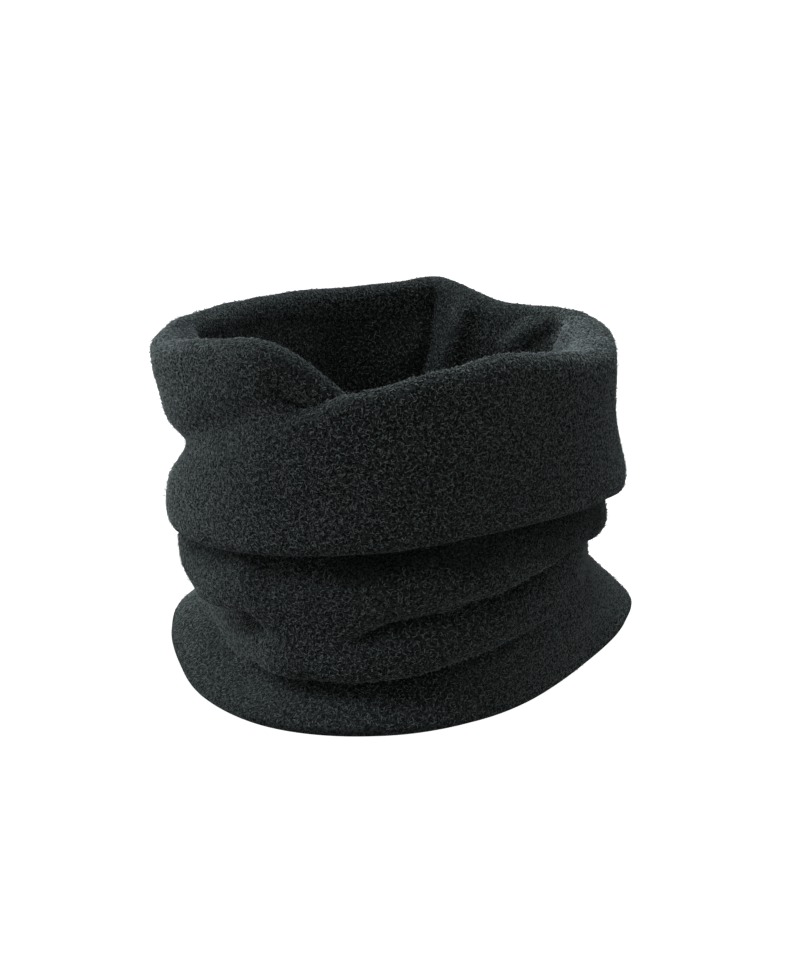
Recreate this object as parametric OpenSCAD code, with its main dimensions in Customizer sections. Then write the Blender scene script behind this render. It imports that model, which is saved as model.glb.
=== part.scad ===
// Double-layer fleece neck gaiter, standing on its hem with its collar turned down as a deep cuff.
// The origin is at the centre of the hem's underside, with +Z up through the neck opening.
// The lower tube carries two slouch folds. The collar slides over its top, so the folds can be pulled out.

/* [Fleece] */
// Thickness of one fleece layer
cloth_t = 1.8; // [1.2:0.1:2.2]
// Gap between the two layers, where the seam threads lie
layer_gap = 0.6; // [0.5:0.1:1]
// Clearance between the collar and the lower tube that it slides over
slide_gap = 0.8; // [0.6:0.1:1.2]

/* [Collar] */
// Inside diameter of the neck opening
neck_d = 144; // [130:1:160]
// Height of the rim above the hem
rim_h = 124; // [112:1:130]
// Height of the cuff's lower edge above the hem
cuff_edge_h = 60; // [58:1:64]
// Height of the lower end of the collar's inner wall above the hem
inner_wall_h = 46; // [40:1:56]

/* [Lower tube] */
// Outside diameter at the hem
hem_d = 178; // [170:1:186]
// Number of slouch folds between the hem and the cuff
fold_count = 2; // [1:1:3]
// Height of one slouch fold
fold_pitch = 24; // [16:1:24]
// How far a slouch fold stands out from the tube
fold_depth = 5; // [2:0.5:7]

/* [Seams] */
// Direction of the back seams, turned from +X towards +Y
seam_angle = 79; // [0:1:359]
// Distance between the seam of the outer layer and the seam of the lining
seam_offset = 8; // [5:1:15]
// Width of a line of stitching
thread_w = 1; // [0.6:0.1:1.4]
// Thickness of a line of stitching
thread_t = 0.4; // [0.3:0.05:0.45]
// Distance from an edge of the gaiter to its ring seam
edge_seam_inset = 5; // [3:1:8]

/* [Hidden] */
$fn = 96;

OUTER_COLOUR = [0.14, 0.15, 0.15];
LINING_COLOUR = [0.16, 0.17, 0.17];
THREAD_COLOUR = [0.08, 0.09, 0.09];

// The wall is a lining layer, the gap for the threads, and an outer layer.
wall_t = 2 * cloth_t + layer_gap;
// The collar is the wall folded over into an arch, with the lower tube's wall inside it.
arch_half = 1.5 * wall_t + slide_gap;
arch_r = neck_d / 2 + arch_half;
arch_h = rim_h - arch_half;
collar_pocket = wall_t / 2 + slide_gap;
// The lower tube ends inside the collar, this far below the height where the arch starts to turn.
TOP_ROOM = 4;
tube_top_h = arch_h - TOP_ROOM;
cuff_seam_h = cuff_edge_h + edge_seam_inset;

// Heights at which the wall of the folds is drawn.
FOLD_STEP = 1.5;
fold_top = cuff_edge_h - 2;
fold_bottom = fold_top - fold_count * fold_pitch;
FOLD_HEIGHTS = [for (i = [0 : floor((fold_top - FOLD_STEP / 2) / FOLD_STEP)]) i * FOLD_STEP];
flare_h = max(fold_bottom, 6);
flare = hem_d / 2 - wall_t / 2 - arch_r;

// How far the middle of the wall stands out from the straight tube at a height.
function fold_out(h) = h < fold_bottom ? 0 : fold_depth * (1 - cos(360 * (fold_top - h) / fold_pitch)) / 2;
function flare_out(h) = h > flare_h ? 0 : flare * pow(1 - h / flare_h, 2);
function wall_r(h) = arch_r + fold_out(h) + flare_out(h);

// Half of the wall's section, from the hem to the top of the lower tube, at an offset from its middle.
function wall_line(offset) = concat(
    [for (h = FOLD_HEIGHTS) [wall_r(h) + offset, h]],
    [[arch_r + offset, fold_top], [arch_r + offset, tube_top_h]]
);
function backwards(points) = [for (i = [len(points) - 1 : -1 : 0]) points[i]];

// Section of the lower tube's wall between two offsets from its middle.
module wall_section(inner, outer) {
    polygon(concat(wall_line(inner), backwards(wall_line(outer))));
}

// Section of an arch with its own half width: an inner leg, a round top and an outer leg.
module arch_shape(half) {
    translate([arch_r, arch_h])
        circle(r = half);
    translate([arch_r - half, inner_wall_h])
        square([half, arch_h - inner_wall_h]);
    translate([arch_r, cuff_edge_h])
        square([half, arch_h - cuff_edge_h]);
}

// Section of one layer of the collar, from its outer half width inwards.
module arch_section(half, thickness) {
    difference() {
        arch_shape(half);
        arch_shape(half - thickness);
        translate([arch_r - half + thickness, 0])
            square([2 * (half - thickness), arch_h]);
    }
}

// Turns a section round the axis over the width of a line of stitching, at a distance from the back seam.
function as_turn(distance) = distance / arch_r * 180 / PI;
module back_stitching(distance) {
    rotate([0, 0, seam_angle + as_turn(distance - thread_w / 2)])
        rotate_extrude(angle = as_turn(thread_w))
            children();
}

// Keeps the part of a section that lies between two heights.
module between_heights(low, high) {
    intersection() {
        children();
        translate([0, low])
            square([hem_d, high - low]);
    }
}

// Keeps the part of a section that a ring of stitching at a height covers.
module thread_band(h) {
    between_heights(h - thread_w / 2, h + thread_w / 2)
        children();
}

// Keeps the part of a section that lies outside the middle of the arch, in the cuff.
module cuff_side() {
    intersection() {
        children();
        translate([arch_r, 0])
            square([hem_d, rim_h]);
    }
}

// Sections of the thread in the middle of the gap between the layers, on the lower tube and on the collar.
module tube_thread() {
    wall_section(-thread_t / 2, thread_t / 2);
}
module collar_thread() {
    arch_section(arch_half - cloth_t - (layer_gap - thread_t) / 2, thread_t);
}

// ---------- lower tube ----------

module outer_tube() {
    color(OUTER_COLOUR)
        rotate_extrude()
            wall_section(layer_gap / 2, wall_t / 2);
}

module lining_tube() {
    color(LINING_COLOUR)
        rotate_extrude()
            wall_section(-wall_t / 2, -layer_gap / 2);
}

module tube_outer_seam() {
    color(THREAD_COLOUR)
        back_stitching(0)
            between_heights(edge_seam_inset + thread_w, tube_top_h)
                tube_thread();
}

module tube_lining_seam() {
    color(THREAD_COLOUR)
        back_stitching(seam_offset)
            between_heights(edge_seam_inset + thread_w, tube_top_h)
                tube_thread();
}

module hem_seam() {
    color(THREAD_COLOUR)
        rotate_extrude()
            thread_band(edge_seam_inset)
                tube_thread();
}

// ---------- collar with its turned-down cuff ----------

module outer_collar() {
    color(OUTER_COLOUR)
        rotate_extrude()
            arch_section(collar_pocket + cloth_t, cloth_t);
}

module lining_collar() {
    color(LINING_COLOUR)
        rotate_extrude()
            arch_section(arch_half, cloth_t);
}

module collar_outer_seam() {
    color(THREAD_COLOUR)
        back_stitching(0)
            between_heights(cuff_seam_h + thread_w, rim_h)
                collar_thread();
}

module collar_lining_seam() {
    color(THREAD_COLOUR)
        back_stitching(seam_offset)
            between_heights(cuff_seam_h + thread_w, rim_h)
                collar_thread();
}

module cuff_edge_seam() {
    color(THREAD_COLOUR)
        rotate_extrude()
            thread_band(cuff_seam_h)
                cuff_side()
                    collar_thread();
}

outer_tube();
lining_tube();
tube_outer_seam();
tube_lining_seam();
hem_seam();
outer_collar();
lining_collar();
collar_outer_seam();
collar_lining_seam();
cuff_edge_seam();
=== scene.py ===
"""A double-layer fleece neck gaiter standing on its hem, its collar turned down outwards as a deep cuff."""

import math

import bpy
import numpy as np
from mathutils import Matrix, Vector


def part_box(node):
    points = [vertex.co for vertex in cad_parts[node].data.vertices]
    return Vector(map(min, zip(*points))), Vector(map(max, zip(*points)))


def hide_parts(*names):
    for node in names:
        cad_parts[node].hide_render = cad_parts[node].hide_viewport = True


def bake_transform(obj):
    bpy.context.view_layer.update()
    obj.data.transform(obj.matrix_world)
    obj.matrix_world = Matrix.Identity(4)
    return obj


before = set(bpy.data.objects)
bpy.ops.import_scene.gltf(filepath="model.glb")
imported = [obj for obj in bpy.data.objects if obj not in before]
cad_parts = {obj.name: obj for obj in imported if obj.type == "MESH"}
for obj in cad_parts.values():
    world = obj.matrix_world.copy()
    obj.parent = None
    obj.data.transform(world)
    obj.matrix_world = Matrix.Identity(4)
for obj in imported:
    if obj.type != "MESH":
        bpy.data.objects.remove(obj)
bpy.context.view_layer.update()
MM = 0.001

# ---------- sizes read from the frame, in millimetres ----------


def middle_height(node):
    """Height of the middle of a CAD node."""
    low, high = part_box(node)
    return (low.z + high.z) / 2 / MM


EDGE_INSET = middle_height("hem_seam")                      # from the cloth's edge to the seam inside it
CUFF_EDGE_H = middle_height("cuff_edge_seam") - EDGE_INSET  # height of the cuff's lower edge

# ---------- the cloth, in millimetres ----------

ROUND = 500         # cloth round the gaiter
LAYER_T = 1.8       # thickness of one fleece layer
LAYER_GAP = 0.4     # air between the two layers
WALL_HALF = LAYER_T + LAYER_GAP / 2
COLUMNS = 340       # mesh columns round the gaiter
ROW_STEP = 1.4      # distance between mesh rows along the cloth
SPLINE_STEP = 0.7   # longest step along the curves that the rows are taken from
COLLAR_CLOTH = 112  # cloth measured from the cuff's edge up over the rim and down the inner wall
TUBE_CLOTH = 140    # cloth from there to the hem, which sets the number of rows there
NORMAL_PASSES = 2   # how often the normals are evened
# (height, wavelength, seed) of the waves in the cloth, and the distances from the hem over which they grow
WAVES = ((0.55, 31, 3), (0.3, 13, 4), (0.16, 6, 5))
WAVES_GROW = (2, 12)
NOISE_LENGTH = 300  # the noise covers this much of the cloth's length, which is more than it has


def around(keys):
    """A smooth closed curve through {azimuth in degrees: value}. Azimuth 0 is the front and 90 is +X."""
    angles = np.array(sorted(keys), float)
    values = np.array([keys[a] for a in sorted(keys)], float)
    a = np.concatenate([angles[-2:] - 360, angles, angles[:2] + 360])
    v = np.concatenate([values[-2:], values, values[:2]])
    slopes = np.zeros_like(v)
    slopes[1:-1] = (v[2:] - v[:-2]) / (a[2:] - a[:-2])

    def curve(azimuth):
        x = (np.asarray(azimuth, float) - angles[0]) % 360 + angles[0]
        i = np.clip(np.searchsorted(a, x, side="right") - 1, 1, len(a) - 3)
        span = a[i + 1] - a[i]
        t = (x - a[i]) / span
        h00 = 2 * t**3 - 3 * t**2 + 1
        h10 = t**3 - 2 * t**2 + t
        h01 = -2 * t**3 + 3 * t**2
        h11 = t**3 - t**2
        return h00 * v[i] + h10 * span * slopes[i] + h01 * v[i + 1] + h11 * span * slopes[i + 1]

    return curve


def ease(x, low, high):
    """0 below low, 1 above high, and smooth between them."""
    t = np.clip((x - low) / (high - low), 0, 1)
    return t * t * (3 - 2 * t)


# ---------- how the gaiter has slumped: its lines by azimuth, in millimetres ----------

LEAN_X = -4         # how far the collar has sagged towards -X
LEAN_START = 10     # height at which it starts to lean
CREASE_FOOT = 3.4   # a crease starts this far below the edge of the fold over it
FOLD_SPACE = 5.6    # from the cuff's middle to the inner wall's, where they lie together
ROLL_DROP = 4.5     # most that the rim's roll drops on its inner side
LOBE_TILT = 4       # how much lower than its crest a lobe of the rim's roll lies on its inner side
LOBE_FULL = 1.15    # how many roll widths in from the cuff the inner side of a full lobe hangs
LOBE_FOOT = 0.3     # share of the cuff's height at which it ends
# angles round the roll of its control points, from its inner side to its outer side
ROLL_TURNS = (160, 112, 68, 20)
# shares of the cuff's height at which the cuff's control points lie
CUFF_SHARES = (0.86, 0.68, 0.45, 0.22, 0.06)
# the inner wall's control points: share of the cuff's height, how far the roll's width has taken the place
# of the plain space between the walls, and slack
INNER_WALL = ((0.22, 0, 4), (0.45, 0.1, 2.5), (0.64, 0.3, 1.2), (0.82, 0.75, 0.2))

# outer radius of the hem on the floor
hem_r = around({-150: 85, -112: 86, -103: 87.6, -95: 87.6, -85: 86.8, -66: 87.8, -48: 92.8, -28: 95.2,
                -5: 91, 18: 84, 44: 77, 60: 76, 74: 79, 91: 86.7, 104: 93.7, 120: 93, 150: 87,
                180: 85})
# lower crease, between the skirt and the lower fold: height of the fold's edge over it, and its depth
low_h = around({-150: 22, -110: 19, -82: 16, -62: 13, -47: 13, -36: 14, -26: 14.6, -17: 15.3, -9: 16.2,
                -1: 17.8, 7: 19.6, 15: 22.2, 23: 25, 33: 28.5, 48: 31.5, 60: 31, 90: 26, 130: 22,
                160: 20})
low_depth = around({-150: 4, -110: 1, -82: 0, -62: 0, -50: 0, -43: 1.5, -37: 5, -29: 7, -10: 7, 10: 6,
                    25: 3.6, 33: 2, 43: 0.3, 80: 0, 110: 1.5, 140: 4, 170: 3})
# upper crease, between the lower fold and the middle fold
high_h = around({-150: 42, -110: 38, -82: 36, -70: 35, -64: 34, -59: 31.5, -55: 29.5, -50: 30.6,
                 -45: 32, -41: 33.2, -38: 34.4, -35: 34.4, -33: 33.2, -30: 29.5, -20: 28.5, -13: 30.5,
                 -9: 32.5, -4: 35.8, 0: 38.4, 7: 40.2, 15: 41, 24: 43.8, 34: 46.6, 43: 48.5, 55: 50.5,
                 76: 46.5, 90: 44.5, 130: 43, 165: 45})
high_depth = around({-150: 4, -110: 3, -82: 5, -64: 8, -52: 9, -43: 9, -39: 9, -36: 8, -33: 4.5,
                     -30: 0.8, -18: 0, -13: 0.3, -9: 2.2, -4: 4.6, 5: 5.6, 17: 6, 45: 6.4, 75: 7.5,
                     100: 6, 130: 3, 165: 5})
# radius of the outer face of the wall at each height band
skirt_r = around({-150: 78, -110: 73, -82: 71, -66: 71.5, -54: 73.5, -45: 75.5, -37: 78.3, -30: 81.5,
                  0: 82, 30: 80, 50: 79, 74: 76, 90: 76, 120: 79, 160: 79})
low_fold_r = around({-150: 80, -110: 75, -82: 72.5, -66: 72, -54: 74, -45: 78, -38: 81.6, -32: 84.8,
                     -27: 86, 0: 85.5, 30: 83, 50: 78.5, 74: 72.5, 90: 72.5, 120: 79, 160: 82})
mid_fold_r = around({-150: 82, -110: 80, -82: 79.6, -60: 83, -46: 85, -36: 85.5, -20: 84, 0: 84,
                     30: 83.5, 60: 82, 80: 80, 100: 80.4, 130: 82, 160: 83})
# lower edge of the cuff, and the radius of the cuff's face there, half way up and at the top
edge_h = around({-150: 57, -110: 52, -82: 49.4, -60: 53.6, -47: 55.4, -25: 59.4, -2: 63.8, 19: 66.9,
                 38: 67.6, 62: 65, 82: 60, 110: 60, 150: 62})
edge_r = around({-150: 84, -110: 81.5, -82: 81.7, -60: 85.5, -25: 86, 20: 86, 60: 86, 82: 86.5,
                 110: 85, 150: 84})
cuff_mid_r = around({-150: 82, -110: 79.5, -82: 80, -60: 83, -25: 84.5, 20: 85, 60: 84, 82: 82.5,
                     110: 82, 150: 81})
cuff_top_r = around({-150: 81, -120: 81, -95: 83.5, -82: 85, -60: 85, -40: 84, -25: 83.5, 0: 83.5,
                     20: 83, 45: 83.5, 62: 83.4, 82: 81.8, 105: 81.6, 125: 80, 140: 77.5, 152: 79,
                     160: 82.5, 166: 86, 172: 84.5, 180: 82})
# height of the rim, and the radius of its roll at the middle of the wall
rim_h = around({-160: 115.2, -135: 115.8, -116: 115.6, -105: 116.5, -95: 117.5, -84: 118.3, -66: 121.8,
                -53: 126, -42: 128.6, -34: 130.1, -28: 129.5, 2: 122, 6: 121.8, 14: 123.6, 22: 125.2,
                30: 125.6, 41: 123.8, 48: 122.4, 56: 120.8, 70: 119.2, 85: 118.5, 98: 118.4,
                107: 117.6, 120: 115.3, 133: 113.6, 140: 113.2, 147: 113.4, 153: 114.8, 160: 117,
                166: 118, 174: 117.2, 184: 116})
roll_r = around({-180: 3, -150: 3.2, -110: 3.4, -99: 3.6, -93: 5.5, -87: 7.4, -76: 7.6, -64: 6,
                 -50: 3.2, -35: 2.8, 0: 2.6, 45: 3, 57: 5, 66: 7.8, 78: 8.2, 90: 8.2, 98: 7.8,
                 104: 6.4, 109: 4.2, 114: 3, 150: 2.8})
# how far down the inside the rim's roll hangs: 1 where it is a full lobe
lobe = around({-110: 0, -99: 0, -93: 0.4, -87: 0.9, -76: 1, -64: 0.6, -50: 0, 0: 0, 52: 0, 64: 0.9,
               78: 1, 90: 1, 100: 1, 106: 0.6, 112: 0, 180: 0})

# ---------- the pleat at the front left, where the flap of the rim tucks in behind the rest ----------

PLEAT_IN = (-31, -26)   # azimuths between which the pleat begins, and between which it ends
PLEAT_OUT = (3, 27)
PLEAT_SPACE = 5.2       # from the cuff's middle to the inner wall's, in the pleat
PLEAT_INNER_SHARES = (0.22, 0.45)
PLEAT_CUFF_SHARES = (0.8, 0.6, 0.4, 0.2, 0.06)
# height and radius of the flap's rim as it falls behind the pleat's crest
flap_h = around({-40: 129, -31: 129.8, -27: 129, -23: 127, -20: 124.3, -16.5: 120.8, -13.5: 117.2,
                 -10: 113, -5: 108.5, 2: 105, 12: 101, 27: 97, 180: 110})
flap_r = around({-40: 81, -31: 80.6, -27: 80, -23: 79, -20: 78.4, -16.5: 77.6, -13.5: 76.8, -10: 75.6,
                 -5: 74.6, 2: 74.2, 12: 74.6, 27: 75.5, 180: 80})
# height of the crest that hides it, depth of the gutter behind the crest, and how far the crest stands out
crest_h = around({-40: 115, -31: 114.8, -27: 113.2, -24: 111.3, -22: 110.2, -19: 109.8, -16: 111,
                  -13: 113.2, -11: 114.8, -6: 116.6, -2: 118.2, 2: 119.8, 6: 121.2, 14: 123.4, 22: 125,
                  27: 125.4, 180: 110})
gutter = around({-40: 0, -31: 0, -29: 0, -27: 0.3, -24: 1.2, -21: 2.3, -17: 3.6, -10: 4.5, 0: 6, 27: 9,
                 180: 0})
crest_out = around({-40: 0, -31: 0, -29: 0, -27: 0.4, -24: 1.1, -20: 1.6, -14: 1.4, -8: 1, 27: 1,
                    180: 0})

# ---------- dents pressed into the folds ----------

# Each dent is a line of (azimuth, height, depth) points and a width. Depth is how far the wall moves in
# towards the axis, so a dent in the inner wall is a ridge when seen from inside.

# the notch in the cuff at the left, which runs out towards the pleat
CUFF_DENTS = (
    ([(-140, 75, 1), (-112, 72.5, 10.5), (-90, 74, 13.3), (-74, 79, 8), (-60, 88, 3.6), (-46, 97, 3),
      (-34, 104, 3), (-26, 108, 2)], 7),
)
# the hollow under the hooked end of the lower fold
TUBE_DENTS = (
    ([(-62, 28, 1), (-50, 29, 4), (-41, 29.5, 7), (-35.5, 30, 7), (-32.5, 30.5, 2)], 5.5),
)
# the folds of the inner wall at the back and at the left
INSIDE_DENTS = (
    ([(166, 116, -0.6), (167, 91, -3.5), (171, 78, -4), (176, 62, -2)], 4),
    ([(150, 114, 1.2), (155, 107, 2.4), (158, 96, 2.4), (161, 78, 2)], 4.5),
    ([(-112, 90, 2), (-130, 90, 4.5), (-147, 90, 4.5)], 12),
    ([(140, 94, 1), (130, 104, 3.2), (121, 112, 3.6)], 3.8),
)
DEGREE = 1.4            # length of one degree of azimuth on the wall

# ---------- the wall's section at each azimuth ----------

# Each control point has a zone, which says where it lies along the cloth: 0 at the hem, 1 at the tuck under
# the cuff, 2 at the rim and 3 at the cuff's edge.
LOW_CREASE_ZONE = 0.3
HIGH_CREASE_ZONE = 0.6
ROLL_ZONE = 2.018                   # at the roll's outer side
ROLL_ZONE_STEP = 0.0002             # for each degree round the roll
TUBE_DENT_END = 0.64                # the tube's dents fade out between the upper crease and here
CUFF_DENT_START = 2.03              # the cuff's dents lie beyond this
INSIDE_DENT_ZONES = (1.1, 1.96)     # the inner wall's dents lie between these


def crease(below, above, edge, depth, zone):
    """Control points where the wall runs in under a fold, up to the fold's lower edge, and out again."""
    open_share = np.minimum(depth / 4, 1)
    return [
        (below * 0.5 + above * 0.5 - depth * 0.5, edge - CREASE_FOOT, zone),
        (below * 0.25 + above * 0.75 - depth * 1.1, edge - 0.5, zone + 0.02),
        (below * 0.1 + above * 0.9 - depth, edge + 0.5 + 1.5 * open_share, zone + 0.04),
        (above - depth * 0.3, edge + 1.5 + 0.4 * open_share, zone + 0.06),
        (above - 0.1, edge + 3.6, zone + 0.08),
    ]


def lower_tube(a):
    """Control points (radius, height, zone) of the wall's middle, from the hem to the tuck."""
    z_low = low_h(a)
    z_high = high_h(a)
    skirt = skirt_r(a) - WALL_HALF
    low_fold = low_fold_r(a) - WALL_HALF
    mid_fold = mid_fold_r(a) - WALL_HALF
    hem = hem_r(a) - WALL_HALF
    z_edge = edge_h(a) + WALL_HALF
    rise = z_low - CREASE_FOOT - WALL_HALF
    return [
        (hem, WALL_HALF, 0.0),
        (hem * 0.65 + skirt * 0.35 - 0.5, WALL_HALF + rise * 0.33, 0.1),
        (skirt * 0.8 + hem * 0.2 - low_depth(a) * 0.15, WALL_HALF + rise * 0.7, 0.2),
        *crease(skirt, low_fold, z_low, low_depth(a), LOW_CREASE_ZONE),
        (low_fold, z_low * 0.5 + z_high * 0.5 + 0.5, 0.5),
        *crease(low_fold, mid_fold, z_high, high_depth(a), HIGH_CREASE_ZONE),
        (mid_fold - 1.2, (z_high + z_edge) / 2 + 1, 0.85),
        (np.minimum(mid_fold, edge_r(a) - WALL_HALF - 6) - 5, z_edge - 1.5, 1.0),
    ]


def cuff_face(a, share):
    """Radius and height of the cuff's middle at a share of the way from its edge to the rim."""
    z_edge = edge_h(a) + WALL_HALF
    top = rim_h(a) - WALL_HALF
    r = edge_r(a) * (1 - ease(share, 0, 0.5)) + cuff_mid_r(a) * ease(share, 0, 0.5)
    r = r * (1 - ease(share, 0.45, 0.95)) + cuff_top_r(a) * ease(share, 0.45, 0.95)
    return r - WALL_HALF, z_edge + share * (top - z_edge)


def plain_collar(a):
    """Control points of the inner wall, the rim's roll and the cuff, where there is no pleat."""
    roll = roll_r(a)
    drop = np.minimum(roll, ROLL_DROP)
    points = []
    for share, plain, slack in INNER_WALL:
        r, h = cuff_face(a, share)
        rolled = plain + (LOBE_FULL - plain) * lobe(a) * (share > LOBE_FOOT)
        points.append((r - FOLD_SPACE * (1 - rolled) - 2 * roll * rolled - slack, h, 1 + share))
    r, h = cuff_face(a, 1.0)
    for turn in ROLL_TURNS:
        x = math.cos(math.radians(turn))
        y = math.sin(math.radians(turn))
        tilt = LOBE_TILT * lobe(a) * (1 - x) / 2
        zone = ROLL_ZONE - ROLL_ZONE_STEP * turn
        points.append((r - roll + roll * x, h - drop + drop * y - tilt, zone))
    for share in CUFF_SHARES:
        r, h = cuff_face(a, share)
        points.append((r, h, 3 - share))
    r, h = cuff_face(a, 0)
    points.append((r - 0.6, h, 3.0))
    return points


def pleated_collar(a):
    """Control points of the inner wall, the flap's rim, the gutter, the crest and the cuff in the pleat."""
    z_flap = flap_h(a) - WALL_HALF
    r_flap = flap_r(a) - 0.7
    z_crest = crest_h(a) - WALL_HALF
    out = crest_out(a)
    z_edge = edge_h(a) + WALL_HALF
    r_face, _ = cuff_face(a, 0.8)
    r_crest = r_face - 1.4 * out
    z_gutter = z_crest - gutter(a) + 2.2 * (1 - out)
    r_gutter = r_face - 1.0 - 3.2 * out
    r_inner = r_flap - 3.4
    points = []
    for share in PLEAT_INNER_SHARES:
        r, _ = cuff_face(a, share)
        height = z_edge + share * 0.8 * (z_flap - z_edge)
        points.append((r - PLEAT_SPACE - 2.4 * share, height, 1 + share))
    points += [
        (r_inner - 0.4, z_edge + 0.64 * (z_flap - z_edge), 1.64),
        (r_inner - 0.2, z_flap - 7, 1.82),
        (r_inner + 0.4, z_flap - 2.2, 1.96),
        (r_flap - 1.2, z_flap - 0.2, 1.98),
        (r_flap + 0.8, z_flap - 0.8, 2.0),
        ((r_flap + 1.6) * 0.75 + r_gutter * 0.25, z_flap - 3.4, 2.02),
        ((r_flap + 1.6) * 0.35 + r_gutter * 0.65, z_gutter + (z_flap - z_gutter) * 0.35, 2.03),
        (r_gutter, z_gutter, 2.04),
        (r_crest - 1.9, z_crest - 0.9 * out + 1.1 * (1 - out), 2.06),
        (r_crest, z_crest, 2.08),
        (r_crest + 1.3 * out, z_crest - 1.9, 2.1),
    ]
    for share in PLEAT_CUFF_SHARES:
        r, _ = cuff_face(a, share)
        points.append((r, z_edge + share * (z_crest - z_edge), 3 - share))
    points.append((edge_r(a) - WALL_HALF - 0.6, z_edge, 3.0))
    return points


def spline(points):
    """Centripetal Catmull-Rom curves through rows of control points, one curve for each column."""
    points = np.array([[p + np.zeros(COLUMNS) for p in point] for point in points])
    ends = np.concatenate([2 * points[:1] - points[1:2], points, 2 * points[-1:] - points[-2:-1]])
    rows = []
    for i in range(len(points) - 1):
        p0, p1, p2, p3 = ends[i], ends[i + 1], ends[i + 2], ends[i + 3]
        d01 = np.maximum(np.linalg.norm((p1 - p0)[:2], axis=0), 1e-3) ** 0.5
        d12 = np.maximum(np.linalg.norm((p2 - p1)[:2], axis=0), 1e-3) ** 0.5
        d23 = np.maximum(np.linalg.norm((p3 - p2)[:2], axis=0), 1e-3) ** 0.5
        t1, t2, t3 = d01, d01 + d12, d01 + d12 + d23
        count = max(3, math.ceil((d12**2).max() / SPLINE_STEP))
        for k in range(count):
            t = t1 + (t2 - t1) * k / count
            a1 = (t1 - t) / t1 * p0 + t / t1 * p1
            a2 = (t2 - t) / (t2 - t1) * p1 + (t - t1) / (t2 - t1) * p2
            a3 = (t3 - t) / (t3 - t2) * p2 + (t - t2) / (t3 - t2) * p3
            b1 = (t2 - t) / t2 * a1 + t / t2 * a2
            b2 = (t3 - t) / (t3 - t1) * a2 + (t - t1) / (t3 - t1) * a3
            rows.append((t2 - t) / (t2 - t1) * b1 + (t - t1) / (t2 - t1) * b2)
    rows.append(points[-1])
    return np.array(rows)


def along_cloth(path):
    """The path's points at even steps of cloth, counted from the cuff's edge, for every column."""
    path = path[::-1]
    travelled = np.zeros((len(path), COLUMNS))
    travelled[1:] = np.cumsum(np.linalg.norm(np.diff(path[:, :2], axis=0), axis=1), axis=0)
    collar_rows = round(COLLAR_CLOTH / ROW_STEP)
    tube_rows = round(TUBE_CLOTH / ROW_STEP)
    rows = np.zeros((collar_rows + tube_rows, 3, COLUMNS))
    for j in range(COLUMNS):
        total = travelled[-1, j]
        at = np.concatenate([np.arange(collar_rows) * ROW_STEP,
                             np.linspace(collar_rows * ROW_STEP, total, tube_rows)])
        for k in range(3):
            rows[:, k, j] = np.interp(at, travelled[:, j], path[:, k, j])
    return rows[::-1]


def pressed(azimuth, height, dents):
    """How far some dents move the wall in, at each point of the cloth."""
    field = np.zeros_like(height)
    for line, width in dents:
        nearest = np.full(field.shape, np.inf)
        depth = np.zeros(field.shape)
        for (a0, h0, d0), (a1, h1, d1) in zip(line, line[1:]):
            x = ((azimuth - a0 + 180) % 360 - 180) * DEGREE
            y = height - h0
            ux = (a1 - a0) * DEGREE
            uy = h1 - h0
            t = np.clip((x * ux + y * uy) / (ux * ux + uy * uy), 0, 1)
            distance = np.hypot(x - t * ux, y - t * uy)
            closer = distance < nearest
            nearest = np.where(closer, distance, nearest)
            depth = np.where(closer, d0 + t * (d1 - d0), depth)
        field += depth * np.exp(-((nearest / width) ** 2))
    return field


def middle_surface():
    """The middle of the wall as a grid of points [row, column, xyz], from the hem to the cuff's edge."""
    azimuth = np.arange(COLUMNS) * 360 / COLUMNS - 180
    lower = lower_tube(azimuth)
    plain = along_cloth(spline(lower + plain_collar(azimuth)))
    pleated = along_cloth(spline(lower + pleated_collar(azimuth)))
    share = ease(azimuth, *PLEAT_IN) * (1 - ease(azimuth, *PLEAT_OUT))
    path = plain * (1 - share) + pleated * share
    radius, height, zone = path[:, 0], path[:, 1], path[:, 2]
    turn = azimuth[None] + 0 * radius

    inside_start, inside_end = INSIDE_DENT_ZONES
    radius = radius - pressed(turn, height, CUFF_DENTS) * (zone > CUFF_DENT_START)
    radius = radius - pressed(turn, height, TUBE_DENTS) * (1 - ease(zone, HIGH_CREASE_ZONE, TUBE_DENT_END))
    radius = radius - pressed(turn, height, INSIDE_DENTS) * (zone > inside_start) * (zone < inside_end)

    lean = LEAN_X * ease(height, LEAN_START, CUFF_EDGE_H)
    bearing = np.radians(turn)
    return np.stack([lean + radius * np.sin(bearing), -radius * np.cos(bearing), height], axis=2)


def soft_noise(u, v, wavelength, seed):
    """Smooth noise from -1 to 1 over the cloth, u round the gaiter and v along it, both in millimetres."""
    cells = max(3, round(ROUND / wavelength))
    lattice = np.random.default_rng(seed).uniform(-1, 1, (cells, 8 + int(NOISE_LENGTH / wavelength)))
    x = u / ROUND * cells
    y = v / wavelength + 2
    xi = np.floor(x).astype(int)
    yi = np.floor(y).astype(int)
    tx = ease(x - xi, 0, 1)
    ty = ease(y - yi, 0, 1)
    near = lattice[xi % cells, yi] * (1 - tx) + lattice[(xi + 1) % cells, yi] * tx
    far = lattice[xi % cells, yi + 1] * (1 - tx) + lattice[(xi + 1) % cells, yi + 1] * tx
    return near * (1 - ty) + far * ty


def normals(grid):
    """Unit normals of the middle surface, evened along the cloth. On the lower tube they point outwards."""
    along = np.gradient(grid, axis=0)
    across = np.roll(grid, -1, axis=1) - np.roll(grid, 1, axis=1)
    n = np.cross(across, along)
    n /= np.maximum(np.linalg.norm(n, axis=2, keepdims=True), 1e-9)
    for _ in range(NORMAL_PASSES):
        n[1:-1] = n[:-2] + 2 * n[1:-1] + n[2:]
        n /= np.maximum(np.linalg.norm(n, axis=2, keepdims=True), 1e-9)
    return n


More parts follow.
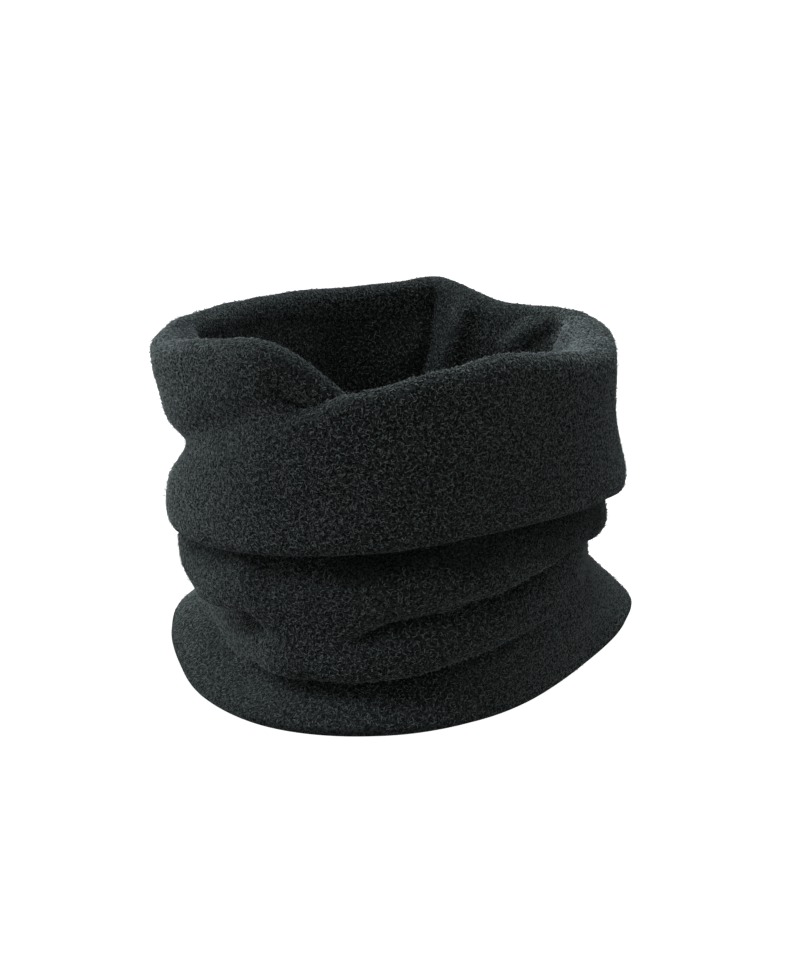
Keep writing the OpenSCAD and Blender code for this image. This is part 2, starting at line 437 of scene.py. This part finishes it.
class Cloth:
    """The middle surface of the wall, with its normals and the directions in which its two ends point."""

    def __init__(self):
        grid = middle_surface()
        rows = np.arange(len(grid))[:, None]
        u = np.arange(COLUMNS)[None] / COLUMNS * ROUND + 0 * rows
        v = rows * ROW_STEP + 0 * u
        n = normals(grid)
        waves = sum(size * soft_noise(u, v, wavelength, seed) for size, wavelength, seed in WAVES)
        calm_hem = ease(v, *WAVES_GROW)[..., None]
        self.grid = grid + n * waves[..., None] * calm_hem
        self.normal = normals(self.grid)
        self.hem_way = self.grid[0] - self.grid[1]
        self.edge_way = self.grid[-1] - self.grid[-2]
        self.hem_way /= np.linalg.norm(self.hem_way, axis=1, keepdims=True)
        self.edge_way /= np.linalg.norm(self.edge_way, axis=1, keepdims=True)
        self.last = len(grid) - 1

    def ring(self, row, beyond, offset):
        """Points round a row, moved past the cloth's end by beyond and off its middle by offset."""
        way = self.hem_way if row < self.last / 2 else self.edge_way
        return self.grid[row] + way * beyond + self.normal[row] * offset

    def skin(self, loop, side):
        """A layer's closed surface, from a loop of (row, beyond, offset) steps for one side of the wall."""
        return np.array([self.ring(row, beyond, offset * side) for row, beyond, offset in loop])


HIDDEN_STEP = 2         # rows between the mesh rows of a layer's hidden face
WRAP_TURNS = (60, 30, 0, -30, -60)
OUTER_BEVEL = 0.5       # how far the hidden ends of a layer are rounded, on its outer and its inner face
INNER_BEVEL = 0.3


def layer_loop(cloth, wrap_row, far_row):
    """Section of a layer that wraps round one end of the cloth, as (row, beyond, offset) steps."""
    way = 1 if far_row > wrap_row else -1
    inset = round(EDGE_INSET / ROW_STEP)
    half_gap = LAYER_GAP / 2
    loop = [(r, 0, WALL_HALF) for r in range(far_row, wrap_row - way, -way)]
    for turn in WRAP_TURNS:
        x = math.radians(turn)
        loop.append((wrap_row, WALL_HALF * math.cos(x), WALL_HALF * math.sin(x)))
    loop += [(r, 0, -WALL_HALF) for r in range(wrap_row, wrap_row + way * inset, way)]
    loop.append((wrap_row + way * inset, 0, -WALL_HALF + OUTER_BEVEL))
    loop.append((wrap_row + way * inset, 0, -half_gap - INNER_BEVEL))
    loop += [(r, 0, -half_gap) for r in range(wrap_row + way * (inset - 1), wrap_row - way, -way)]
    loop.append((wrap_row, half_gap, 0))
    loop += [(r, 0, half_gap) for r in range(wrap_row, far_row, way * HIDDEN_STEP)]
    loop.append((far_row, 0, half_gap + INNER_BEVEL))
    loop.append((far_row, 0, WALL_HALF - OUTER_BEVEL))
    return loop


LOOSEN_PASSES = 12
LEAST_STEP = 0.2 * ROW_STEP     # rows of a skin that move on by less than this have folded over


def loosen(skin, rows):
    """Evens out the first rows of a skin where the wall's own thickness has folded them over each other."""
    for _ in range(LOOSEN_PASSES):
        face = skin[:rows]
        step = face[2:] - face[:-2]
        before = face[1:-1] - face[:-2]
        after = face[2:] - face[1:-1]
        length = np.linalg.norm(step, axis=2)
        folded = np.minimum((before * step).sum(2), (after * step).sum(2)) < LEAST_STEP * length
        even = (face[:-2] + 2 * face[1:-1] + face[2:]) / 4
        face[1:-1] = np.where(folded[..., None], even, face[1:-1])
    return skin


def build_mesh(name, points, faces):
    """A smooth mesh object from points in millimetres. Its material reads their places at rest."""
    mesh = bpy.data.meshes.new(name)
    mesh.from_pydata((np.asarray(points) * MM).tolist(), [], faces)
    mesh.polygons.foreach_set("use_smooth", [True] * len(mesh.polygons))
    place = mesh.attributes.new("rest_place", "FLOAT_VECTOR", "POINT")
    place.data.foreach_set("vector", (np.asarray(points) * MM).ravel())
    mesh.update()
    obj = bpy.data.objects.new(name, mesh)
    bpy.context.scene.collection.objects.link(obj)
    return obj


def build_layer(name, cloth, loop, side, visible_rows):
    """A fleece layer as a closed mesh round the gaiter."""
    skin = loosen(cloth.skin(loop, side), visible_rows)
    rows, columns = skin.shape[:2]
    i, j = np.meshgrid(np.arange(rows), np.arange(columns), indexing="ij")
    right = (j + 1) % columns
    above = (i + 1) % rows
    corners = [i * columns + j, i * columns + right, above * columns + right, above * columns + j]
    faces = np.stack(corners, axis=2)
    if side < 0:
        faces = faces[..., ::-1]
    return build_mesh(name, skin.reshape(-1, 3), faces.reshape(-1, 4).tolist())


cloth = Cloth()
inset_rows = round(EDGE_INSET / ROW_STEP)
outer_loop = layer_loop(cloth, 0, cloth.last - inset_rows - 1)
lining_loop = layer_loop(cloth, cloth.last, inset_rows + 1)
outer_fleece = build_layer("outer_fleece", cloth, outer_loop, 1, cloth.last - inset_rows)
lining_fleece = build_layer("lining_fleece", cloth, lining_loop, -1, cloth.last - inset_rows)

# ---------- the brushed pile: short curled fibres that stand on the fleece ----------

FIBRES = 12000              # about this many on each piece of pile
FIBRE_LENGTH = (1.0, 2.2)
FIBRE_R = (0.10, 0.16)
FIBRE_SIDES = 3
FIBRE_STEPS = 3
FIBRE_TAPER = (1, 1, 0.8)   # thickness at each step before the tip
FIBRE_CURL = (0.3, 1.3)     # how far a fibre turns at each step, in radians
FIBRE_RISE = (0.15, 0.7)    # how steeply it leaves the cloth, in radians
STRAYS = 0.07               # share of the fibres that stand out from the rest
STRAY_RISE = (0.6, 1.3)
STRAY_DROOP = 0.25          # how much less steep each step of a stray is, in radians
DROOP = 0.75                # the same for the rest, as a share of their rise
ROOT_DEPTH = 0.12           # how deep the roots are sunk in the fleece
FLOOR_GAP = 0.1             # no fibre goes lower than this


def fibre_roots(cloth, side, rows, rng):
    """Where fibres leave one face of the cloth, and the directions up from it, across it and along it."""
    face = cloth.grid + cloth.normal * WALL_HALF * side
    lines = round(((rows[1] - rows[0]) * ROW_STEP * FIBRES / ROUND) ** 0.5)
    columns = FIBRES // lines
    count = lines * columns
    cell = np.arange(count)
    r = rows[0] + (cell // columns + rng.uniform(0, 1, count)) * (rows[1] - rows[0]) / lines
    c = (cell % columns + rng.uniform(0, 1, count)) * COLUMNS / columns
    ri = np.minimum(r.astype(int), cloth.last - 1)
    ci = np.minimum(c.astype(int), COLUMNS - 1)
    tr = (r - ri)[:, None]
    tc = (c - ci)[:, None]
    cj = (ci + 1) % COLUMNS
    here = face[ri, ci] * (1 - tr) + face[ri + 1, ci] * tr
    there = face[ri, cj] * (1 - tr) + face[ri + 1, cj] * tr
    root = here * (1 - tc) + there * tc
    up = cloth.normal[ri, ci] * side
    across = there - here
    across -= up * (across * up).sum(1, keepdims=True)
    across /= np.linalg.norm(across, axis=1, keepdims=True)
    return root, up, across, np.cross(up, across)


def fibre_faces(count):
    """Faces of a number of fibres, each one a rod that is closed at its root and pointed at its tip."""
    per_fibre = FIBRE_SIDES * FIBRE_STEPS + 1
    rod = [tuple(reversed(range(FIBRE_SIDES)))]
    for k in range(FIBRE_STEPS - 1):
        for corner in range(FIBRE_SIDES):
            a = FIBRE_SIDES * k + corner
            b = FIBRE_SIDES * k + (corner + 1) % FIBRE_SIDES
            rod.append((a, b, b + FIBRE_SIDES, a + FIBRE_SIDES))
    tip = per_fibre - 1
    last = tip - FIBRE_SIDES
    rod += [(last + corner, last + (corner + 1) % FIBRE_SIDES, tip) for corner in range(FIBRE_SIDES)]
    faces = []
    for start in range(0, count * per_fibre, per_fibre):
        faces += [tuple(start + k for k in face) for face in rod]
    return faces


def pile(name, cloth, side, rows, seed):
    """Short curled fibres on one face of the cloth, between two rows, as thin tapered rods."""
    rng = np.random.default_rng(seed)
    root, up, across, along = fibre_roots(cloth, side, rows, rng)
    count = len(root)
    reach = rng.uniform(*FIBRE_LENGTH, count) / FIBRE_STEPS
    thick = rng.uniform(*FIBRE_R, count)
    heading = rng.uniform(0, 2 * math.pi, count)
    curl = rng.uniform(*FIBRE_CURL, count) * rng.choice([-1, 1], count)
    stray = rng.uniform(0, 1, count) < STRAYS
    rise = np.where(stray, rng.uniform(*STRAY_RISE, count), rng.uniform(*FIBRE_RISE, count))
    droop = np.where(stray, STRAY_DROOP, rise * DROOP)

    points = []
    point = root - up * ROOT_DEPTH
    for k in range(FIBRE_STEPS + 1):
        flat = np.cos(heading)[:, None] * across + np.sin(heading)[:, None] * along
        beside = np.cross(flat, up)
        if k < FIBRE_STEPS:
            width = (thick * FIBRE_TAPER[k])[:, None]
            for corner in range(FIBRE_SIDES):
                x = corner * 2 * math.pi / FIBRE_SIDES
                points.append(point + width * (math.cos(x) * up + math.sin(x) * beside))
        else:
            points.append(point)
        slope = rise - droop * k
        point = point + reach[:, None] * (np.cos(slope)[:, None] * flat + np.sin(slope)[:, None] * up)
        heading = heading + curl
    points = np.array(points).transpose(1, 0, 2)
    points[..., 2] = np.maximum(points[..., 2], FLOOR_GAP)
    return build_mesh(name, points.reshape(-1, 3), fibre_faces(count))


CUFF_PILE = 66              # cloth that the cuff's pile covers, from the cuff's edge
INSIDE_PILE = (60, 122)     # the same for the inner pile
TUBE_PILE = 108             # the same for the tube's pile, from the hem
CUFF_ROWS = (cloth.last - CUFF_PILE / ROW_STEP, cloth.last)
INSIDE_ROWS = (cloth.last - INSIDE_PILE[1] / ROW_STEP, cloth.last - INSIDE_PILE[0] / ROW_STEP)
TUBE_ROWS = (0, TUBE_PILE / ROW_STEP)
piles = [
    (pile("cuff_pile_1", cloth, -1, CUFF_ROWS, 11), "lining_fleece"),
    (pile("cuff_pile_2", cloth, -1, CUFF_ROWS, 12), "lining_fleece"),
    (pile("inner_pile", cloth, -1, INSIDE_ROWS, 13), "lining_fleece"),
    (pile("tube_pile_1", cloth, 1, TUBE_ROWS, 14), "outer_fleece"),
    (pile("tube_pile_2", cloth, 1, TUBE_ROWS, 15), "outer_fleece"),
]

# ---------- the seams: one thread for each, sewn up and down through the cloth ----------

STITCH = 2.8            # length of one stitch
STITCH_POINTS = 8       # points along one stitch
THREAD_R = 0.2
THREAD_SIDES = 6
OUTER_SEAM = 169        # azimuths of the two closing seams, at the back
LINING_SEAM = 175


def thread(name, base, way, closed):
    """A round thread along a line of points, which waves up and down along the vectors once a stitch."""
    step = np.linalg.norm(np.diff(base, axis=0), axis=1)
    travelled = np.concatenate([[0], np.cumsum(step)])
    total = travelled[-1] + closed * np.linalg.norm(base[0] - base[-1])
    count = round(total / STITCH)
    if closed:
        base = np.concatenate([base, base[:1]])
        way = np.concatenate([way, way[:1]])
        travelled = np.append(travelled, total)
    at = np.arange(STITCH_POINTS * count + (not closed)) / STITCH_POINTS * total / count
    line = np.array([np.interp(at, travelled, base[:, k]) for k in range(3)]).T
    wave = np.array([np.interp(at, travelled, way[:, k]) for k in range(3)]).T
    line += wave * np.sin(at / total * count * 2 * math.pi)[:, None]

    along = np.gradient(line, axis=0)
    if closed:
        along = np.roll(line, -1, axis=0) - np.roll(line, 1, axis=0)
    along /= np.linalg.norm(along, axis=1, keepdims=True)
    side = np.cross(along, wave)
    side /= np.linalg.norm(side, axis=1, keepdims=True)
    up = np.cross(side, along)
    turns = np.arange(THREAD_SIDES) * 2 * math.pi / THREAD_SIDES
    rings = [line + THREAD_R * (math.cos(t) * side + math.sin(t) * up) for t in turns]
    points = np.array(rings).transpose(1, 0, 2)
    faces = []
    for i in range(len(line) - (not closed)):
        here = i * THREAD_SIDES
        ahead = (i + 1) % len(line) * THREAD_SIDES
        for k in range(THREAD_SIDES):
            beside = (k + 1) % THREAD_SIDES
            faces.append((here + k, here + beside, ahead + beside, ahead + k))
    if not closed:
        last = (len(line) - 1) * THREAD_SIDES
        faces.append(tuple(reversed(range(THREAD_SIDES))))
        faces.append(tuple(last + k for k in range(THREAD_SIDES)))
    return build_mesh(name, points.reshape(-1, 3), faces)


def closing_seam(name, azimuth, side):
    """The thread that closes a layer into a tube, inside the layer, from one edge seam to the other."""
    column = round((azimuth + 180) / 360 * COLUMNS)
    rows = slice(inset_rows + 2, cloth.last - inset_rows - 1)
    normal = cloth.normal[rows, column] * side
    middle = cloth.grid[rows, column] + normal * (LAYER_GAP + LAYER_T) / 2
    return thread(name, middle, normal * (LAYER_T / 2 - THREAD_R), closed=False)


def edge_seam(name, row):
    """The thread that joins the layers round the hem or round the cuff's edge, through both of them."""
    return thread(name, cloth.grid[row], cloth.normal[row] * (WALL_HALF - 2 * THREAD_R), closed=True)


seams = [
    (closing_seam("outer_closing_seam", OUTER_SEAM, 1), ["tube_outer_seam", "collar_outer_seam"]),
    (closing_seam("lining_closing_seam", LINING_SEAM, -1), ["tube_lining_seam", "collar_lining_seam"]),
    (edge_seam("hem_thread", inset_rows), ["hem_seam"]),
    (edge_seam("cuff_edge_thread", cloth.last - inset_rows), ["cuff_edge_seam"]),
]

# ---------- materials ----------

# The fleece's dark base holds painted shade in the pile between the fibres. Its paler fibre colour holds
# painted highlights where curled fibres catch the light.
FLEECE_BASE_AND_PILE_SHADE = (0.003, 0.0033, 0.0033)
FLEECE_FIBRE_AND_HIGHLIGHT = (0.050, 0.055, 0.0545)
FIBRE_COLOUR = (0.060, 0.066, 0.0655)
THREAD_COLOUR = (0.01, 0.011, 0.011)


def thread_material(name, colour):
    """Sewing thread: two plies twisted together, seen as a fine ripple on its surface."""
    material = bpy.data.materials.new(name)
    material.use_nodes = True
    nodes = material.node_tree.nodes
    links = material.node_tree.links
    surface = nodes["Principled BSDF"]
    place = nodes.new("ShaderNodeAttribute")
    place.attribute_name = "rest_place"
    twist = nodes.new("ShaderNodeTexNoise")
    twist.inputs["Scale"].default_value = 3000
    links.new(place.outputs["Vector"], twist.inputs["Vector"])
    shade = nodes.new("ShaderNodeMix")
    shade.data_type = "RGBA"
    shade.inputs["A"].default_value = (*[c * 0.6 for c in colour], 1)
    shade.inputs["B"].default_value = (*[c * 1.4 for c in colour], 1)
    links.new(twist.outputs["Fac"], shade.inputs["Factor"])
    links.new(shade.outputs["Result"], surface.inputs["Base Color"])
    bump = nodes.new("ShaderNodeBump")
    bump.inputs["Strength"].default_value = 0.5
    bump.inputs["Distance"].default_value = 0.0001
    links.new(twist.outputs["Fac"], bump.inputs["Height"])
    links.new(bump.outputs["Normal"], surface.inputs["Normal"])
    surface.inputs["Roughness"].default_value = 0.6
    return material


def fleece_material(name, base_and_shade, fibre_and_highlight):
    """Brushed fleece: curled paler lines, which are painted highlights on fibres, over a dark base with
    painted shade in the pile, and the fine relief that they make.
    """
    material = bpy.data.materials.new(name)
    material.use_nodes = True
    nodes = material.node_tree.nodes
    links = material.node_tree.links
    surface = nodes["Principled BSDF"]
    place = nodes.new("ShaderNodeAttribute")
    place.attribute_name = "rest_place"

    def noise(scale, detail, distortion, shift):
        move = nodes.new("ShaderNodeVectorMath")
        move.operation = "ADD"
        move.inputs[1].default_value = (shift, shift * 0.7, shift * 1.3)
        links.new(place.outputs["Vector"], move.inputs[0])
        texture = nodes.new("ShaderNodeTexNoise")
        texture.inputs["Scale"].default_value = scale
        texture.inputs["Detail"].default_value = detail
        texture.inputs["Roughness"].default_value = 0.5
        texture.inputs["Distortion"].default_value = distortion
        links.new(move.outputs["Vector"], texture.inputs["Vector"])
        return texture.outputs["Fac"]

    def ramp(value, stops):
        node = nodes.new("ShaderNodeValToRGB")
        node.color_ramp.interpolation = "EASE"
        while len(node.color_ramp.elements) < len(stops):
            node.color_ramp.elements.new(0.5)
        for element, (position, level) in zip(node.color_ramp.elements, stops):
            element.position = position
            element.color = (level, level, level, 1)
        links.new(value, node.inputs["Fac"])
        return node.outputs["Color"]

    def math_node(operation, a, b):
        node = nodes.new("ShaderNodeMath")
        node.operation = operation
        for slot, value in zip(node.inputs, (a, b)):
            if isinstance(value, (int, float)):
                slot.default_value = value
            else:
                links.new(value, slot)
        return node.outputs["Value"]

    def curls(scale, shift):
        """Thin curled lines where a noise crosses its middle value, broken into short fibres by another."""
        line = ramp(noise(scale, 0.0, 0.7, shift), [(0.46, 0), (0.5, 1), (0.54, 0)])
        breaks = ramp(noise(scale * 1.3, 0.0, 0.0, shift + 0.37), [(0.42, 0), (0.54, 1)])
        return math_node("MULTIPLY", line, breaks)

    fibres = math_node("MAXIMUM", curls(1000, 0.11), math_node("MULTIPLY", curls(1500, 0.53), 0.8))
    tufts = ramp(noise(1300, 0.0, 0.0, 0.71), [(0.36, 0), (0.66, 1)])
    patches = ramp(noise(60, 2.0, 0.3, 0.93), [(0.3, 0.95), (0.7, 1.05)])

    height = math_node("ADD", math_node("MULTIPLY", fibres, 0.55), math_node("MULTIPLY", tufts, 0.6))
    # The shade factor follows the relief. The raised curled lines and tufts get painted highlights, and the
    # low pile between them gets painted shade. The patches add random tone.
    shade = math_node("ADD", math_node("MULTIPLY", fibres, 0.62), math_node("MULTIPLY", tufts, 0.18))
    shade = math_node("MULTIPLY", shade, patches)
    colour = nodes.new("ShaderNodeMix")
    colour.data_type = "RGBA"
    colour.inputs["A"].default_value = (*base_and_shade, 1)
    colour.inputs["B"].default_value = (*fibre_and_highlight, 1)
    links.new(shade, colour.inputs["Factor"])
    links.new(colour.outputs["Result"], surface.inputs["Base Color"])

    bump = nodes.new("ShaderNodeBump")
    bump.inputs["Strength"].default_value = 0.9
    bump.inputs["Distance"].default_value = 0.0005
    links.new(height, bump.inputs["Height"])
    links.new(bump.outputs["Normal"], surface.inputs["Normal"])
    surface.inputs["Roughness"].default_value = 0.95
    surface.inputs["Specular IOR Level"].default_value = 0.0
    surface.inputs["Sheen Weight"].default_value = 0.10
    surface.inputs["Sheen Roughness"].default_value = 0.15
    surface.inputs["Sheen Tint"].default_value = (0.75, 0.85, 0.88, 1)
    return material


def fibre_material(name, colour):
    """The pile's fibres: rough, with hardly any gloss, and a little paler than the fleece under them."""
    material = bpy.data.materials.new(name)
    material.use_nodes = True
    surface = material.node_tree.nodes["Principled BSDF"]
    surface.inputs["Base Color"].default_value = (*colour, 1)
    surface.inputs["Roughness"].default_value = 0.8
    surface.inputs["Specular IOR Level"].default_value = 0.03
    return material


outer_material = fleece_material("outer_fleece", FLEECE_BASE_AND_PILE_SHADE, FLEECE_FIBRE_AND_HIGHLIGHT)
lining_material = fleece_material("lining_fleece", FLEECE_BASE_AND_PILE_SHADE, FLEECE_FIBRE_AND_HIGHLIGHT)
pile_material = fibre_material("pile", FIBRE_COLOUR)
seam_material = thread_material("thread", THREAD_COLOUR)
for piece, _ in piles:
    piece.data.materials.append(pile_material)
for piece, _ in seams:
    piece.data.materials.append(seam_material)
outer_fleece.data.materials.append(outer_material)
lining_fleece.data.materials.append(lining_material)

# ---------- the pieces' placing baked into their meshes, and which CAD nodes they stand for ---


def ride_both(piece):
    """Bakes a piece's placing into its mesh."""
    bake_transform(piece)


for piece, slot in piles:
    ride_both(piece)
for piece, nodes_shown in seams:
    ride_both(piece)
    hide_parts(*nodes_shown)
for piece, slot, nodes_shown in (
    (outer_fleece, "outer_fleece", ["outer_tube", "outer_collar"]),
    (lining_fleece, "lining_fleece", ["lining_tube", "lining_collar"]),
):
    ride_both(piece)
    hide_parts(*nodes_shown)

# ---------- the stage, in metres ----------

ELEVATION = math.radians(19.5)
DISTANCE = 0.62
AIM = Vector((0, 0, 0.059))

camera_data = bpy.data.cameras.new("camera")
camera_data.lens = 62.6
camera_data.sensor_width = 36
camera = bpy.data.objects.new("camera", camera_data)
camera.location = AIM + Vector((0, -math.cos(ELEVATION), math.sin(ELEVATION))) * DISTANCE
camera.rotation_euler = (math.pi / 2 - ELEVATION, 0, 0)
bpy.context.scene.collection.objects.link(camera)
bpy.context.scene.camera = camera
bpy.context.scene.view_settings.view_transform = "Standard"

FLOOR_HALF = 8
floor_mesh = bpy.data.meshes.new("floor")
floor_corners = [(x * FLOOR_HALF, y * FLOOR_HALF, 0) for x, y in ((-1, -1), (1, -1), (1, 1), (-1, 1))]
floor_mesh.from_pydata(floor_corners, [], [(0, 1, 2, 3)])
floor = bpy.data.objects.new("floor", floor_mesh)
bpy.context.scene.collection.objects.link(floor)

# The floor is a white light table, so the gaiter throws no shadow on it.
table_top = bpy.data.materials.new("light_table")
table_top.use_nodes = True
table_surface = table_top.node_tree.nodes["Principled BSDF"]
table_surface.inputs["Base Color"].default_value = (0.9, 0.9, 0.9, 1)
table_surface.inputs["Roughness"].default_value = 0.9
table_surface.inputs["Emission Color"].default_value = (1, 1, 1, 1)
table_surface.inputs["Emission Strength"].default_value = 1.0
floor_mesh.materials.append(table_top)

world = bpy.data.worlds.new("world")
world.use_nodes = True
world.node_tree.nodes["Background"].inputs["Color"].default_value = (0.95, 0.98, 1, 1)
world.node_tree.nodes["Background"].inputs["Strength"].default_value = 0.30
bpy.context.scene.world = world

LIGHT_COLOUR = (0.90, 0.99, 1.0)
# Soft suns that light only the gaiter: (name, azimuth, elevation, strength, width), angles in degrees.
LIGHTS = (
    ("key", -110, 8, 9.5, 40),
    ("side", -90, 60, 6.0, 40),
    ("top", 0, 90, 2.0, 40),
    ("back", 180, 60, 6.0, 40),
    ("right", 90, 12, 1.2, 40),
)
gaiter = bpy.data.collections.new("gaiter")
for piece in [outer_fleece, lining_fleece] + [obj for obj, _ in piles] + [obj for obj, _ in seams]:
    gaiter.objects.link(piece)
for name, azimuth, elevation, strength, width in LIGHTS:
    bearing = math.radians(azimuth)
    height = math.radians(elevation)
    flat = math.cos(height)
    way = Vector((math.sin(bearing) * flat, -math.cos(bearing) * flat, math.sin(height)))
    light_data = bpy.data.lights.new(name, "SUN")
    light_data.energy = strength
    light_data.angle = math.radians(width)
    light_data.color = LIGHT_COLOUR
    light = bpy.data.objects.new(name, light_data)
    light.rotation_euler = (-way).to_track_quat("-Z", "Y").to_euler()
    light.light_linking.receiver_collection = gaiter
    bpy.context.scene.collection.objects.link(light)
